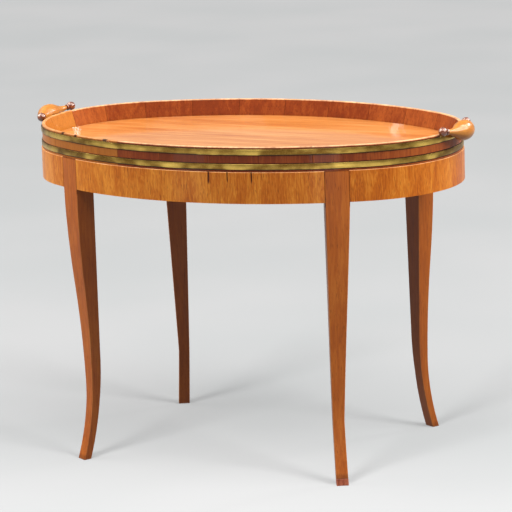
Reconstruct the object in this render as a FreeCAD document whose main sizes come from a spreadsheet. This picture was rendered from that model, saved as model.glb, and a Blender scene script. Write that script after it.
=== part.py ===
import FreeCAD, Part
import math
import os
import Sketcher

# A tray-top tea table: a coopered oval tray, bound with two brass hoops, lifts off an oval stand
# on four sabre legs. Millimetres, +Z up, the floor at z = 0, the long axis along X, the front at -Y.

SIZES = {
    # plan of the tray over its hoops: two tight arcs at the ends, two flat ones at the sides
    "tray_length": 665.0,
    "tray_width": 449.4,
    "side_half_angle": 33.8,
    # tray wall and its panel
    "wall_height": 36.2,
    "stave_thickness": 13.2,
    "rim_thickness": 5.2,
    "rim_rounding": 1.5,
    "staves_per_end": 5,
    "staves_per_side": 7,
    "panel_rise": 3.2,
    "panel_thickness": 8.0,
    "panel_tongue": 5.0,
    "panel_groove": 5.0,
    "panel_clearance": 0.3,
    # brass hoops
    "hoop_height": 8.2,
    "hoop_thickness": 1.2,
    "hoop_rounding": 0.5,
    "lower_hoop_rise": 3.5,
    "upper_hoop_drop": 3.4,
    # handles and their finials
    "handle_reach": 12.8,
    "handle_drop": 1.5,
    "handle_tilt": 17.0,
    "handle_bend_radius": 80.0,
    "handle_half_angle": 29.4,
    "handle_belly_radius": 14.8,
    "handle_neck_radius": 3.2,
    "ball_radius": 6.7,
    "ball_neck_radius": 3.2,
    "collar_radius": 4.7,
    "collar_length": 2.8,
    "ball_tenon_radius": 2.2,
    "ball_tenon_length": 8.0,
    # wood screws and the plugs over them
    "screw_length": 20.0,
    "screw_shank_radius": 1.8,
    "screw_head_radius": 3.3,
    "screw_head_height": 2.4,
    "screw_slot_width": 0.9,
    "screw_slot_depth": 1.1,
    "screw_clearance": 0.2,
    "handle_screw_spacing": 18.0,
    "plug_radius": 4.0,
    "plug_bore_depth": 10.8,
    # stand
    "stand_height": 463.8,
    "frieze_height": 45.8,
    "frieze_ledge": 1.0,
    "veneer_thickness": 1.6,
    "veneer_rounding": 0.9,
    "core_thickness": 16.0,
    # shrinkage cracks in the front veneer
    "crack_width": 2.4,
    "crack_length": 20.0,
    # sabre legs
    "leg_inset_angle": 5.4,
    "leg_width": 36.0,
    "leg_depth": 30.0,
    "waist_height": 120.0,
    "waist_inset": 15.0,
    "calf_height": 150.0,
    "calf_back": 31.6,
    "ankle_height": 92.0,
    "ankle_width": 17.0,
    "foot_kick": 5.0,
    "foot_depth": 12.2,
    "foot_width": 17.8,
    "foot_tip_height": 9.6,
    # joints inside the stand
    "tenon_setback": 6.0,
    "tenon_thickness": 7.0,
    "tenon_length": 9.0,
    "tenon_height": 30.0,
    "rail_width": 40.0,
    "rail_thickness": 14.0,
    "rail_drop": 8.0,
    "rail_housing": 6.0,
    "stop_length": 60.0,
    "stop_thickness": 12.0,
    "stop_depth": 28.0,
    "stop_clearance": 0.6,
    "stop_screw_spacing": 36.0,
    "glue_block_side": 11.0,
    "glue_block_height": 36.0,
    # how far a cutting tool runs past what it cuts
    "overrun": 4.0,
}

# How far along each half of a handle a section stands, and how much of the belly's swell it has.
HANDLE_SWELL_SHARES = ((0.0, 1.0), (0.28, 0.86), (0.55, 0.45), (0.8, 0.14), (1.0, 0.0))
# Each handle was fixed by eye: how much of the drop it hangs below the rim, and how many degrees it
# dips towards the front.
HANDLE_HANGS = {"left": (0.6, 1.9), "right": (0.0, 0.0)}
# Each crack's place across the front between the leg centres, its length and its lean to one side.
CRACK_SHARES = ((0.178, 1.0, -0.1), (0.302, 0.85, 0.0), (0.46, 0.9, -0.05))
# Where a leg's front curve turns from hollow to full, between the frieze and the waist.
LEG_BEND_SHARE = 0.5
# How far each leg, shaped by eye, sways to its left at the ankle and at the foot, of its width.
LEG_SWAY_SHARES = {
    "front_right": (-0.17, -0.12),
    "back_right": (-0.11, -0.11),
    "back_left": (-0.11, -0.03),
    "front_left": (0.1, 0.085),
}
# How far out the cross rails lie, between the middle and the legs.
RAIL_SHARE = 0.5

doc = FreeCAD.newDocument("tray_top_tea_table")
sheet = doc.addObject("Spreadsheet::Sheet", "Sizes")
for row, (alias, size) in enumerate(SIZES.items(), start=1):
    sheet.set(f"A{row}", alias)
    sheet.set(f"B{row}", str(size))
    sheet.setAlias(f"B{row}", alias)
doc.recompute()

# Plan of the oval over the hoops: centre and radius of the end arcs and of the side arcs.
HALF_TURN = "tan(Sizes.side_half_angle / 2)"
END_RADIUS = f"((Sizes.tray_width - Sizes.tray_length * {HALF_TURN}) / 2 / (1 - {HALF_TURN}))"
END_CENTRE = f"(Sizes.tray_length / 2 - {END_RADIUS})"
SIDE_RADIUS = f"({END_RADIUS} + {END_CENTRE} / sin(Sizes.side_half_angle))"
SIDE_CENTRE = f"({SIDE_RADIUS} - Sizes.tray_width / 2)"

# Heights.
RIM_TOP = "(Sizes.stand_height + Sizes.wall_height)"
PANEL_BOTTOM = "(Sizes.stand_height + Sizes.panel_rise)"
TONGUE_TOP = f"({PANEL_BOTTOM} + Sizes.panel_tongue)"
PANEL_TOP = f"({PANEL_BOTTOM} + Sizes.panel_thickness)"
FRIEZE_BOTTOM = "(Sizes.stand_height - Sizes.frieze_height)"
UPPER_HOOP_TOP = f"({RIM_TOP} - Sizes.upper_hoop_drop)"
LOWER_HOOP_TOP = "(Sizes.stand_height + Sizes.lower_hoop_rise + Sizes.hoop_height)"

# Depths into the wall from the hoops' outer face.
WALL_INSIDE = "(Sizes.hoop_thickness + Sizes.stave_thickness)"
RIM_INSIDE = "(Sizes.hoop_thickness + Sizes.rim_thickness)"
CORE_OUTSIDE = "(Sizes.veneer_thickness - Sizes.frieze_ledge)"
CORE_INSIDE = f"({CORE_OUTSIDE} + Sizes.core_thickness)"

# The oval's four arcs: the way the middle of each faces, which kind it is, and its centre.
HEADING_ANGLES = {"right": 0, "back": 90, "left": 180, "front": 270}
ARCS = {
    "right": ("end", END_CENTRE, "0"),
    "back": ("side", "0", f"-{SIDE_CENTRE}"),
    "left": ("end", f"-{END_CENTRE}", "0"),
    "front": ("side", "0", SIDE_CENTRE),
}
HALF_ANGLES = {"end": "(90 - Sizes.side_half_angle)", "side": "Sizes.side_half_angle"}
RADII = {"end": END_RADIUS, "side": SIDE_RADIUS}

X_AXIS = FreeCAD.Vector(1, 0, 0)
Y_AXIS = FreeCAD.Vector(0, 1, 0)
Z_AXIS = FreeCAD.Vector(0, 0, 1)
UPRIGHT = FreeCAD.Placement(FreeCAD.Vector(), FreeCAD.Rotation(X_AXIS, 90))

nodes = []


def number(expression):
    """Value of an expression on the sheet's cells."""
    return float(sheet.evalExpression(expression))


def place(x, y, z, rotation=None):
    """Placement at a point given as expressions."""
    return FreeCAD.Placement(
        FreeCAD.Vector(number(x), number(y), number(z)), rotation or FreeCAD.Rotation()
    )


def add(kind, name, **expressions):
    """Object of the document with its sizes bound to the sheet."""
    piece = doc.addObject(kind, name)
    for property_name, expression in expressions.items():
        piece.setExpression(property_name, expression)
    return piece


def keep(piece, label):
    """Mark a finished sub-part, which is written under its label."""
    piece.Label = label
    nodes.append(piece)
    return piece


def group(name, pieces):
    """Several separate solids as one object."""
    compound = doc.addObject("Part::Compound", name)
    compound.Links = pieces
    return compound


def cut(name, base, tools):
    """Base less one tool or several tools that are clear of each other."""
    result = doc.addObject("Part::Cut", name)
    result.Base = base
    result.Tool = tools[0] if len(tools) == 1 else group(f"{name}_tools", tools)
    return result


def fuse(name, pieces):
    """One solid from pieces that meet."""
    result = doc.addObject("Part::MultiFuse", name)
    result.Shapes = pieces
    return result


def common(name, pieces):
    """What all the pieces share."""
    result = doc.addObject("Part::MultiCommon", name)
    result.Shapes = pieces
    return result


def arc_between(start, end, radius, turn):
    """Arc of less than half a circle from start to end, turning left (1) or right (-1)."""
    chord = end - start
    rise = math.sqrt(max(radius**2 - (chord.Length / 2) ** 2, 0))
    across = FreeCAD.Vector(-chord.y, chord.x, 0).normalize()
    centre = (start + end) / 2 + across * (turn * rise)
    first, last = (start, end) if turn > 0 else (end, start)
    angles = [math.atan2(point.y - centre.y, point.x - centre.x) for point in (first, last)]
    if angles[1] < angles[0]:
        angles[1] += 2 * math.pi
    return Part.ArcOfCircle(Part.Circle(centre, Z_AXIS, radius), *angles)


def fix_point(sketch, edge, position, expressions):
    """Hold one end of an edge at a place that follows the sheet."""
    for kind, axis, expression in zip(("DistanceX", "DistanceY"), (-2, -1), expressions):
        if expression == "0":
            sketch.addConstraint(Sketcher.Constraint("PointOnObject", edge, position, axis))
            continue
        held = Sketcher.Constraint(kind, -1, 1, edge, position, number(expression))
        sketch.setExpression(f"Constraints[{sketch.addConstraint(held)}]", expression)


def draw_outline(sketch, corners, arcs=None):
    """Closed outline through corners, each a pair of expressions. Arcs are given by the number of
    the corner where each starts, as a radius and a turn to the left (1) or to the right (-1)."""
    arcs = arcs or {}
    points = [FreeCAD.Vector(number(x), number(y), 0) for x, y in corners]
    edges = []
    for index, start in enumerate(points):
        end = points[(index + 1) % len(points)]
        radius, turn = arcs.get(index, (None, 1))
        if radius is None:
            edge = sketch.addGeometry(Part.LineSegment(start, end))
        else:
            edge = sketch.addGeometry(arc_between(start, end, number(radius), turn))
            held = sketch.addConstraint(Sketcher.Constraint("Radius", edge, number(radius)))
            sketch.setExpression(f"Constraints[{held}]", radius)
        edges.append((edge, 1, 2) if turn > 0 else (edge, 2, 1))
    for index, (edge, start, _) in enumerate(edges):
        before, _, end = edges[index - 1]
        sketch.addConstraint(Sketcher.Constraint("Coincident", before, end, edge, start))
        fix_point(sketch, edge, start, corners[index])


def upright_sketch(name, corners, arcs=None):
    """Outline that stands in the XZ plane."""
    sketch = doc.addObject("Sketcher::SketchObject", name)
    sketch.Placement = UPRIGHT
    draw_outline(sketch, corners, arcs)
    return sketch


def body_sketch(body, plane, name):
    """Empty sketch on one of a body's own origin planes."""
    sketch = body.newObject("Sketcher::SketchObject", name)
    support = next(item for item in body.Origin.OriginFeatures if item.Role == plane)
    sketch.AttachmentSupport = [(support, "")]
    sketch.MapMode = "FlatFace"
    return sketch


def revolve(name, sketch, angle="360"):
    """Upright outline swung about the Z axis."""
    piece = add("Part::Revolution", name, Angle=angle)
    piece.Source = sketch
    piece.Axis = Z_AXIS
    piece.Solid = True
    return piece


def wall_section(name, corners, arcs=None):
    """Cross-section of a wall, for the end arcs and for the side arcs. Each corner is a depth in
    from the hoops' outer face and a height."""
    return {
        kind: upright_sketch(
            f"{name}_{kind}_section",
            [(f"{radius} - ({depth})", height) for depth, height in corners],
            arcs,
        )
        for kind, radius in RADII.items()
    }


def swing(name, section, arc, start, sweep):
    """Length of wall on one arc of the oval, from an angle off the middle of that arc."""
    kind, x, y = ARCS[arc]
    piece = revolve(name, section[kind], sweep)
    piece.Placement = place(x, y, "0", FreeCAD.Rotation(Z_AXIS, HEADING_ANGLES[arc] + number(start)))
    return piece


def whole_arc(name, section, arc):
    """Wall along the whole of one arc."""
    half = HALF_ANGLES[ARCS[arc][0]]
    return swing(name, section, arc, f"-{half}", f"2 * {half}")


def rectangle(left, bottom, right, top):
    """Corners of a rectangle, counter-clockwise."""
    return [(left, bottom), (right, bottom), (right, top), (left, top)]


def oval_outline(sketch, depth):
    """The oval, drawn in by a depth from the hoops' outer face."""
    end_radius = f"({END_RADIUS} - ({depth}))"
    side_radius = f"({SIDE_RADIUS} - ({depth}))"
    x = f"({END_CENTRE} + {end_radius} * sin(Sizes.side_half_angle))"
    y = f"({end_radius} * cos(Sizes.side_half_angle))"
    corners = [(x, f"-{y}"), (x, y), (f"-{x}", y), (f"-{x}", f"-{y}")]
    radii = (end_radius, side_radius, end_radius, side_radius)
    draw_outline(sketch, corners, {index: (radius, 1) for index, radius in enumerate(radii)})


# Wood screws: a turned blank with a slot sawn across the head, set by its placement with the head's
# underside at the origin and the shank along +Z.
SCREW_OUTLINE = upright_sketch(
    "screw_outline",
    [
        ("0", "-Sizes.screw_head_height"),
        ("Sizes.screw_head_radius", "-Sizes.screw_head_height"),
        ("Sizes.screw_head_radius", "0"),
        ("Sizes.screw_shank_radius", "0"),
        ("Sizes.screw_shank_radius", "Sizes.screw_length - 2 * Sizes.screw_shank_radius"),
        ("0", "Sizes.screw_length"),
    ],
)


def wood_screw(name, placement):
    """A screw and the stepped hole that its shank and its sunk head need."""
    blank = revolve(f"{name}_blank", SCREW_OUTLINE)
    slot = add(
        "Part::Box",
        f"{name}_slot",
        Length="Sizes.screw_slot_width",
        Width="2 * Sizes.screw_head_radius",
        Height="Sizes.screw_slot_depth",
    )
    slot.Placement = place(
        "-Sizes.screw_slot_width / 2", "-Sizes.screw_head_radius", "-Sizes.screw_head_height"
    )
    screw = cut(name, blank, [slot])
    screw.Placement = placement
    shank = add(
        "Part::Cylinder",
        f"{name}_shank_hole",
        Radius="Sizes.screw_shank_radius + Sizes.screw_clearance",
        Height="Sizes.screw_length + Sizes.screw_clearance",
    )
    head = add(
        "Part::Cylinder",
        f"{name}_head_hole",
        Radius="Sizes.screw_head_radius + Sizes.screw_clearance",
        Height="Sizes.screw_head_height + Sizes.screw_clearance",
    )
    head.Placement = place("0", "0", "-Sizes.screw_head_height - Sizes.screw_clearance")
    hole = fuse(f"{name}_hole", [shank, head])
    hole.Placement = placement
    return screw, hole


# Handles: bowed grips carved to a fat belly, hung outside the rim at each end of the tray, with a
# seat cut to the hoop and the rim, and a dark ball finial plugged into each end.
FINIAL_OUTLINE = upright_sketch(
    "finial_outline",
    [
        ("0", "-Sizes.ball_tenon_length"),
        ("Sizes.ball_tenon_radius", "-Sizes.ball_tenon_length"),
        ("Sizes.ball_tenon_radius", "0"),
        ("Sizes.collar_radius", "0"),
        ("Sizes.collar_radius", "Sizes.collar_length"),
        ("Sizes.ball_neck_radius", "Sizes.collar_length"),
        ("0", "Sizes.collar_length + Sizes.ball_radius"
              " + sqrt(Sizes.ball_radius^2 - Sizes.ball_neck_radius^2)"),
    ],
    {3: ("Sizes.collar_length", 1), 5: ("Sizes.ball_radius", 1)},
)


def handle_grip(name):
    """The bowed spindle, its chord along its own Z axis and its bow towards its own +X."""
    shares = sorted(
        {(sign * along, swell) for along, swell in HANDLE_SWELL_SHARES for sign in (1, -1)}
    )
    sections = []
    for index, (along, swell) in enumerate(shares):
        ring = add(
            "Part::Circle",
            f"{name}_section_{index + 1}",
            Radius="Sizes.handle_neck_radius"
                   f" + {swell} * (Sizes.handle_belly_radius - Sizes.handle_neck_radius)",
        )
        ring.Placement = handle_station(along)
        sections.append(ring)
    grip = doc.addObject("Part::Loft", f"{name}_grip")
    grip.Sections = sections
    grip.Solid = True
    return grip


def handle_station(along):
    """Place along a handle's bow, from -1 at one end to 1 at the other, facing along it."""
    angle = f"({along} * Sizes.handle_half_angle)"
    return place(
        f"-Sizes.handle_bend_radius * (1 - cos({angle}))",
        "0",
        f"Sizes.handle_bend_radius * sin({angle})",
        FreeCAD.Rotation(Y_AXIS, -number(angle)),
    )


def handle_frame(side, drop_share, dip):
    """Where a handle hangs: the belly's centre, with the bow leaning out and down."""
    tilt = math.radians(number("Sizes.handle_tilt"))
    bow = FreeCAD.Vector(side * math.cos(tilt), 0, -math.sin(tilt))
    chord = FreeCAD.Rotation(X_AXIS, dip).multVec(Y_AXIS)
    return place(
        f"{side} * (Sizes.tray_length / 2 + Sizes.handle_reach)",
        "0",
        f"{RIM_TOP} - {drop_share} * Sizes.handle_drop",
        FreeCAD.Rotation(bow, FreeCAD.Vector(), chord, "ZXY"),
    )


def handle_screw_frame(side, y_sign):
    """A handle screw's head, at the floor of its bore in the end stave, pointing outwards."""
    floor = f"({END_CENTRE} + {END_RADIUS} - {WALL_INSIDE} + Sizes.plug_bore_depth)"
    return place(
        f"{side} * {floor}",
        f"{y_sign} * Sizes.handle_screw_spacing / 2",
        f"{UPPER_HOOP_TOP} - Sizes.hoop_height / 2",
        FreeCAD.Rotation(Z_AXIS, X_AXIS * side),
    )


handle_screws = []
handle_holes = {"left": [], "right": []}
plug_bores = {"left": [], "right": []}
plug_blanks = {"left": [], "right": []}
for name, side in (("left", -1), ("right", 1)):
    for end, y_sign in (("front", -1), ("back", 1)):
        frame = handle_screw_frame(side, y_sign)
        screw, hole = wood_screw(f"{name}_{end}_handle_screw", frame)
        handle_screws.append(screw)
        handle_holes[name].append(hole)
        bore_length = "Sizes.plug_bore_depth + Sizes.overrun"
        plug_length = f"{bore_length} - Sizes.screw_head_height"
        mouth = frame.multiply(place("0", "0", f"-({bore_length})"))
        for pieces, kind, length in (
            (plug_bores[name], "bore", bore_length),
            (plug_blanks[name], "blank", plug_length),
        ):
            cylinder = add(
                "Part::Cylinder", f"{name}_{end}_plug_{kind}", Radius="Sizes.plug_radius", Height=length
            )
            cylinder.Placement = mouth
            pieces.append(cylinder)

    seat = add(
        "Part::Cylinder",
        f"{name}_handle_seat",
        Radius=END_RADIUS,
        Height="Sizes.wall_height",
    )
    seat.Placement = place(f"{side} * {END_CENTRE}", "0", "Sizes.stand_height")
    frame = handle_frame(side, *HANDLE_HANGS[name])
    finials = []
    for end, along in (("front", -1), ("back", 1)):
        finial = revolve(f"{name}_{end}_finial", FINIAL_OUTLINE)
        finial.Placement = frame.multiply(handle_station(along))
        if along < 0:
            flip = FreeCAD.Placement(FreeCAD.Vector(), FreeCAD.Rotation(X_AXIS, 180))
            finial.Placement = finial.Placement.multiply(flip)
        finials.append(keep(finial, f"{name}_handle_{end}_finial"))
    grip = handle_grip(name)
    grip.Placement = frame
    waste = fuse(f"{name}_handle_waste", [seat] + handle_holes[name])
    keep(cut(f"{name}_handle", grip, [waste] + finials), f"{name}_handle")

# Tray wall: staves with radial joints, thinned towards the rim, grooved inside for the panel, held by
# the two hoops. The middle of each end is bored for the handle's screws, and the bores are plugged.
STAVE_SECTION = wall_section(
    "stave",
    [
        (WALL_INSIDE, "Sizes.stand_height"),
        ("Sizes.hoop_thickness", "Sizes.stand_height"),
        ("Sizes.hoop_thickness", f"{RIM_TOP} - Sizes.rim_rounding"),
        ("Sizes.hoop_thickness + Sizes.rim_rounding", RIM_TOP),
        (f"{RIM_INSIDE} - Sizes.rim_rounding", RIM_TOP),
        (RIM_INSIDE, f"{RIM_TOP} - Sizes.rim_rounding"),
        (WALL_INSIDE, PANEL_TOP),
        (WALL_INSIDE, TONGUE_TOP),
        (f"{WALL_INSIDE} - Sizes.panel_groove", TONGUE_TOP),
        (f"{WALL_INSIDE} - Sizes.panel_groove", PANEL_BOTTOM),
        (WALL_INSIDE, PANEL_BOTTOM),
    ],
    {2: ("Sizes.rim_rounding", 1), 4: ("Sizes.rim_rounding", 1)},
)
STAVE_COUNTS = {"end": "Sizes.staves_per_end", "side": "Sizes.staves_per_side"}
plugs = []
stave_number = 0
for arc, (kind, *_) in ARCS.items():
    count = round(number(STAVE_COUNTS[kind]))
    half = HALF_ANGLES[kind]
    for index in range(count):
        stave_number += 1
        label = f"tray_stave_{stave_number:02d}"
        angle = f"(2 * {half} / {count})"
        stave = swing(f"{label}_blank", STAVE_SECTION, arc, f"{index} * {angle} - {half}", angle)
        in_the_middle = abs(2 * index + 1 - count) < 2
        if kind == "end" and in_the_middle:
            bores = fuse(f"{label}_bores", plug_bores[arc] + handle_holes[arc])
            stave = cut(f"{label}_bored", stave, [bores])
        keep(stave, label)
    if kind == "end":
        wall = whole_arc(f"{arc}_end_wall", STAVE_SECTION, arc)
        plugs += [common(f"{blank.Name}_fitted", [blank, wall]) for blank in plug_blanks[arc]]
keep(group("handle_screw_set", handle_screws), "handle_screws")
keep(group("plug_set", plugs), "handle_screw_plugs")

# Tray panel: one oval board, rebated round its upper edge, with the tongue let into the staves' groove.
panel = doc.addObject("PartDesign::Body", "panel")
for layer, depth, thickness in (
    ("tongue", f"{WALL_INSIDE} - Sizes.panel_groove", "Sizes.panel_tongue"),
    ("field", f"{WALL_INSIDE} + Sizes.panel_clearance", "Sizes.panel_thickness"),
):
    panel_sketch = body_sketch(panel, "XY_Plane", f"panel_{layer}_outline")
    oval_outline(panel_sketch, depth)
    panel_pad = panel.newObject("PartDesign::Pad", f"panel_{layer}")
    panel_pad.Profile = panel_sketch
    panel_pad.setExpression("Length", thickness)
    panel.Tip = panel_pad
panel.Placement = place("0", "0", PANEL_BOTTOM)
keep(panel, "tray_panel")


# Brass hoops: flat strip with eased edges, bent to the oval and closed into a ring.
def brass_hoop(name, top):
    """A closed hoop whose upper edge is at a height."""
    inside = "Sizes.hoop_thickness"
    ease = "Sizes.hoop_rounding"
    bottom = f"({top} - Sizes.hoop_height)"
    section = wall_section(
        name,
        [
            (inside, bottom),
            (ease, bottom),
            ("0", f"{bottom} + {ease}"),
            ("0", f"{top} - {ease}"),
            (ease, top),
            (inside, top),
        ],
        {1: (ease, 1), 3: (ease, 1)},
    )
    return fuse(name, [whole_arc(f"{name}_{arc}", section, arc) for arc in ARCS])


upper_hoop = brass_hoop("upper_hoop", UPPER_HOOP_TOP)
keep(cut("upper_hoop_bored", upper_hoop, handle_holes["left"] + handle_holes["right"]), "upper_brass_hoop")
keep(brass_hoop("lower_hoop", LOWER_HOOP_TOP), "lower_brass_hoop")


# Sabre legs: sawn to a curve in the plane that faces out from the oval, tapered in width, with the
# top left square to stand in the frieze. Each leg's own frame has +X outwards and +Z up.
LEGS = {
    "front_right": (1, -1),
    "back_right": (1, 1),
    "back_left": (-1, 1),
    "front_left": (-1, -1),
}
LEG_ANGLE = "(Sizes.side_half_angle - Sizes.leg_inset_angle)"
FRIEZE_RADIUS = f"({SIDE_RADIUS} + Sizes.frieze_ledge)"


def leg_frame(name):
    """Foot of the upright line through the middle of a leg's outer face."""
    x_sign, y_sign = LEGS[name]
    turn = y_sign * 90 - x_sign * y_sign * number(LEG_ANGLE)
    return place(
        f"{x_sign} * {FRIEZE_RADIUS} * sin({LEG_ANGLE})",
        f"{y_sign} * ({FRIEZE_RADIUS} * cos({LEG_ANGLE}) - {SIDE_CENTRE})",
        "0",
        FreeCAD.Rotation(Z_AXIS, turn),
    )


def sweep_radius(run, rise):
    """Radius of the arc that covers a run and a rise and is upright at one end."""
    return f"((({run})^2 + ({rise})^2) / (2 * ({run})))"


BEND_HEIGHT = f"({FRIEZE_BOTTOM} + {LEG_BEND_SHARE} * (Sizes.waist_height - {FRIEZE_BOTTOM}))"


def leg_blank(name):
    """A leg before its joints are cut."""
    body = doc.addObject("PartDesign::Body", f"{name}_blank")
    bend_inset = f"({LEG_BEND_SHARE} * Sizes.waist_inset)"
    knee = sweep_radius(bend_inset, f"{FRIEZE_BOTTOM} - {BEND_HEIGHT}")
    hollow = sweep_radius(f"Sizes.waist_inset - {bend_inset}", f"{BEND_HEIGHT} - Sizes.waist_height")
    kick = sweep_radius("Sizes.waist_inset + Sizes.foot_kick", "Sizes.waist_height")
    heel = "(Sizes.foot_depth - Sizes.foot_kick)"
    calf = sweep_radius(f"Sizes.calf_back - {heel}", "Sizes.calf_height")
    side = body_sketch(body, "XZ_Plane", f"{name}_side")
    draw_outline(
        side,
        [
            (f"-{heel}", "0"),
            ("Sizes.foot_kick", "0"),
            ("-Sizes.waist_inset", "Sizes.waist_height"),
            (f"-{bend_inset}", BEND_HEIGHT),
            ("0", FRIEZE_BOTTOM),
            ("0", "Sizes.stand_height"),
            ("-Sizes.leg_depth", "Sizes.stand_height"),
            ("-Sizes.leg_depth", FRIEZE_BOTTOM),
            ("-Sizes.calf_back", "Sizes.calf_height"),
        ],
        {1: (kick, -1), 2: (hollow, -1), 3: (knee, 1), 8: (calf, 1)},
    )
    pad = body.newObject("PartDesign::Pad", f"{name}_pad")
    pad.Profile = side
    pad.SideType = "Symmetric"
    pad.setExpression("Length", "Sizes.leg_width")

    front = body_sketch(body, "YZ_Plane", f"{name}_front")
    outside = "(Sizes.leg_width / 2 + Sizes.overrun)"
    ankle_sway, foot_sway = LEG_SWAY_SHARES[name]
    for sign in (1, -1):
        waste = [
            (f"{sign} * Sizes.foot_width / 2 + {foot_sway} * Sizes.leg_width", "0"),
            (f"{sign} * {outside}", "0"),
            (f"{sign} * {outside}", FRIEZE_BOTTOM),
            (f"{sign} * Sizes.leg_width / 2", FRIEZE_BOTTOM),
            (f"{sign} * Sizes.ankle_width / 2 + {ankle_sway} * Sizes.leg_width", "Sizes.ankle_height"),
        ]
        draw_outline(front, waste)
    taper = body.newObject("PartDesign::Pocket", f"{name}_taper")
    taper.Profile = front
    taper.Type = "ThroughAll"
    taper.SideType = "Symmetric"
    body.Tip = taper
    return body


def leg_box(name, frame, low, high):
    """Box in a leg's frame between two corners given as expressions."""
    lengths = [f"{b} - ({a})" for a, b in zip(low, high)]
    box = add("Part::Box", name, Length=lengths[0], Width=lengths[1], Height=lengths[2])
    box.Placement = frame.multiply(place(*low))
    return box


# What stands proud of the frieze's curve is planed off the legs, down to where they bend in.
PLANED_SECTION = wall_section(
    "planed",
    rectangle(
        "-Sizes.frieze_ledge",
        BEND_HEIGHT,
        "-Sizes.frieze_ledge - Sizes.overrun",
        "Sizes.stand_height + Sizes.overrun",
    ),
)
planed = {
    arc: swing(f"{arc}_planed", PLANED_SECTION, arc, f"-2 * {LEG_ANGLE}", f"4 * {LEG_ANGLE}")
    for arc in ("front", "back")
}

leg_slots = {}
tenons = {}
for name in LEGS:
    frame = leg_frame(name)
    leg_slots[name] = leg_box(
        f"{name}_slot",
        frame,
        ("-Sizes.leg_depth", "-Sizes.leg_width / 2", FRIEZE_BOTTOM),
        ("Sizes.overrun", "Sizes.leg_width / 2", "Sizes.stand_height"),
    )
    tenon_middle = "(Sizes.stand_height - Sizes.frieze_height / 2)"
    tenons[name] = {}
    for sign in (1, -1):
        face = f"({sign} * Sizes.leg_width / 2)"
        tenons[name][sign] = leg_box(
            f"{name}_tenon_{'left' if sign > 0 else 'right'}",
            frame,
            (
                "-Sizes.tenon_setback - Sizes.tenon_thickness",
                f"{face} - Sizes.tenon_length",
                f"{tenon_middle} - Sizes.tenon_height / 2",
            ),
            (
                "-Sizes.tenon_setback",
                f"{face} + Sizes.tenon_length",
                f"{tenon_middle} + Sizes.tenon_height / 2",
            ),
        )
    blank = leg_blank(name)
    blank.Placement = frame
    arc = name.split("_")[0]
    leg = cut(f"{name}_jointed", blank, [planed[arc], *tenons[name].values()])
    if name == "front_right":
        tip_box = leg_box(
            f"{name}_tip_box",
            frame,
            ("-Sizes.leg_depth", "-Sizes.leg_width / 2", "0"),
            ("Sizes.foot_kick + Sizes.overrun", "Sizes.leg_width / 2", "Sizes.foot_tip_height"),
        )
        keep(common(f"{name}_tip", [leg, tip_box]), f"{name}_foot_tip")
        leg = cut(f"{name}_shortened", leg, [tip_box])
    keep(leg, f"{name}_leg")


# Frieze: four curved lengths of core between the legs, tenoned into them, each faced with a veneer
# whose grain runs upright. The front and back lengths are housed for the cross rails.
LENGTHS = {
    "front": ("front_left", "front_right"),
    "right": ("front_right", "back_right"),
    "back": ("back_right", "back_left"),
    "left": ("back_left", "front_left"),
}


def frieze_length(name, section, arc):
    """One length of frieze from the middle of a leg to the middle of the next."""
    if arc in ("front", "back"):
        return swing(f"{name}_{arc}", section, arc, f"-{LEG_ANGLE}", f"2 * {LEG_ANGLE}")
    rest = "Sizes.leg_inset_angle"
    before, after = (("front", "back"), ("back", "front"))[arc == "left"]
    pieces = [
        swing(f"{name}_{arc}_start", section, before, LEG_ANGLE, rest),
        whole_arc(f"{name}_{arc}_middle", section, arc),
        swing(f"{name}_{arc}_end", section, after, "-Sizes.side_half_angle", rest),
    ]
    return fuse(f"{name}_{arc}", pieces)


CORE_SECTION = wall_section(
    "core", rectangle(CORE_INSIDE, FRIEZE_BOTTOM, CORE_OUTSIDE, "Sizes.stand_height")
)
FACE = "-Sizes.frieze_ledge"
VENEER_EASE = "Sizes.veneer_rounding"
VENEER_SECTION = wall_section(
    "veneer",
    [
        (CORE_OUTSIDE, FRIEZE_BOTTOM),
        (FACE, FRIEZE_BOTTOM),
        (FACE, f"Sizes.stand_height - {VENEER_EASE}"),
        (f"{FACE} + {VENEER_EASE}", "Sizes.stand_height"),
        (CORE_OUTSIDE, "Sizes.stand_height"),
    ],
    {2: (VENEER_EASE, 1)},
)


def crack(number_of, across, length_share, lean_share):
    """Wedge-shaped shrinkage crack, from the top edge of the front veneer down."""
    body = doc.addObject("PartDesign::Body", f"crack_{number_of}")
    sketch = body_sketch(body, "YZ_Plane", f"crack_{number_of}_outline")
    half = "Sizes.crack_width / 2"
    length = f"({length_share} * Sizes.crack_length)"
    mouth = "Sizes.stand_height + Sizes.overrun"
    tip = (f"{lean_share} * {length}", f"Sizes.stand_height - {length}")
    draw_outline(sketch, [tip, (half, mouth), (f"-{half}", mouth)])
    pad = body.newObject("PartDesign::Pad", f"crack_{number_of}_pad")
    pad.Profile = sketch
    pad.setExpression("Length", "Sizes.veneer_thickness + 2 * Sizes.overrun")
    angle = f"({across} * {LEG_ANGLE})"
    radius = f"({SIDE_RADIUS} - {CORE_OUTSIDE} - Sizes.overrun)"
    body.Placement = place(
        f"{radius} * sin({angle})",
        f"{SIDE_CENTRE} - {radius} * cos({angle})",
        "0",
        FreeCAD.Rotation(Z_AXIS, number(angle) - 90),
    )
    return body


# Cross rails: two flat bars from front to back, their ends housed in the core.
def housing_cylinder(arc):
    """The round floor of the rail housings along one side."""
    _, x, y = ARCS[arc]
    cylinder = add(
        "Part::Cylinder",
        f"{arc}_housing",
        Radius=f"{SIDE_RADIUS} - {CORE_INSIDE} + Sizes.rail_housing",
        Height="Sizes.stand_height",
    )
    cylinder.Placement = place(x, y, "0")
    return cylinder


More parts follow.
